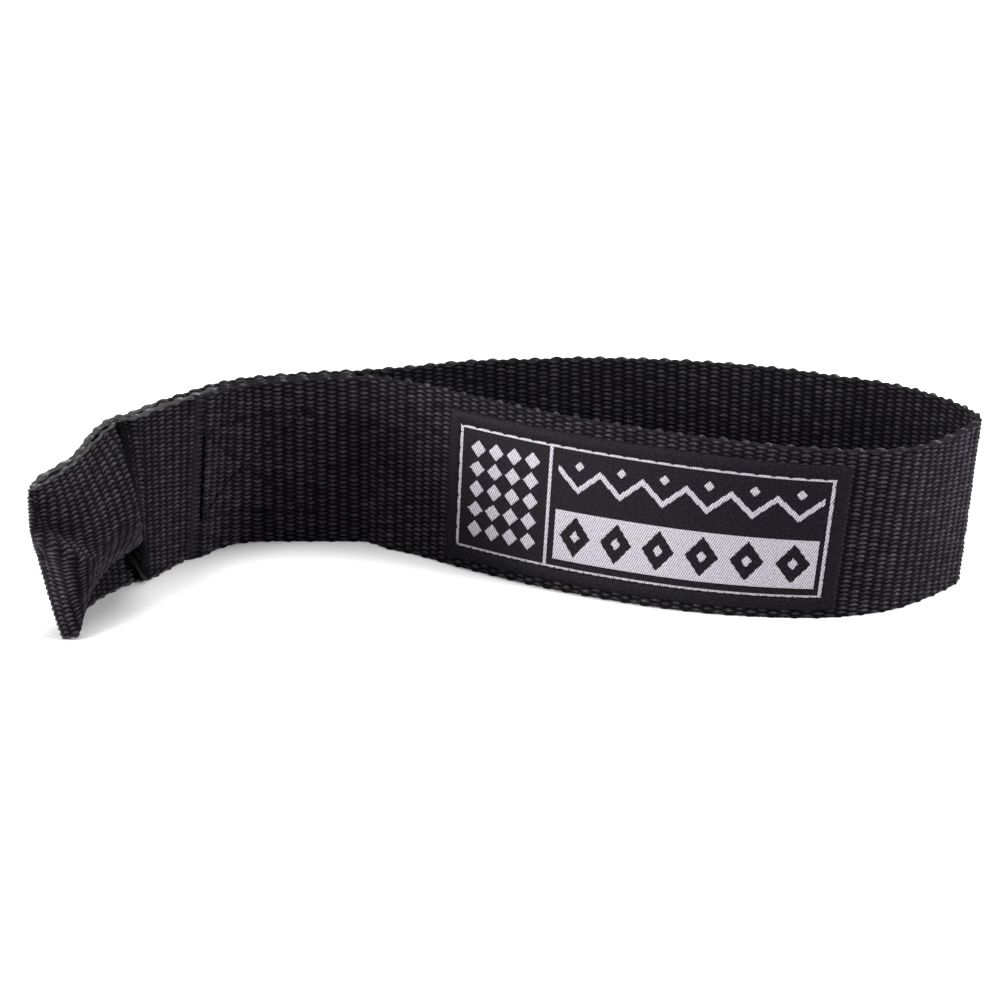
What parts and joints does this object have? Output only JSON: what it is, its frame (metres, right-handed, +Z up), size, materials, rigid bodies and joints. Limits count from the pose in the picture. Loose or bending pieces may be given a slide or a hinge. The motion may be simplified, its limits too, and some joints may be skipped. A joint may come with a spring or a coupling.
{
  "type": "webbing loop strap",
  "caption": "Flat woven strap sewn into a large loop with a stitched neck and a small end loop that folds to either side; a woven label on the front run.",
  "frame": {"origin": "middle of the strap's bounding box, on the surface that its lower edge stands on", "axes": "+X along the strap from the end loop to the large loop's far bend, +Y away from the labelled run, +Z up across the webbing's width"},
  "size_m": [0.2002, 0.073, 0.038],
  "materials": {
    "webbing": "black plain-woven polypropylene webbing, slight sheen on each rib",
    "label": "woven label, black satin ground with silver-grey twill areas and a pale frame line",
    "thread": "black bonded sewing thread"
  },
  "bodies": {
    "strap": {"loop_strap": "webbing", "tucked_end": "webbing", "neck_fold_front": "webbing", "neck_fold_rear": "webbing", "woven_label": "label", "box_needle_thread": "thread", "box_bobbin_thread": "thread", "label_needle_thread": "thread", "label_bobbin_thread": "thread"},
    "end_loop": {"end_loop": "webbing", "end_seam_needle_thread": "thread", "end_seam_bobbin_thread": "thread"}
  },
  "joints": [
    {"name": "end_loop_fold", "type": "hinge", "parent": "strap", "child": "end_loop", "pos_m": [-0.07508, 0.0049, 0.019], "axis": [0, 0, 1], "range_deg": [-80, 80], "stiffness_Nm_per_rad": 0.02, "deforming": ["neck_fold_front", "neck_fold_rear"]}
  ]
}
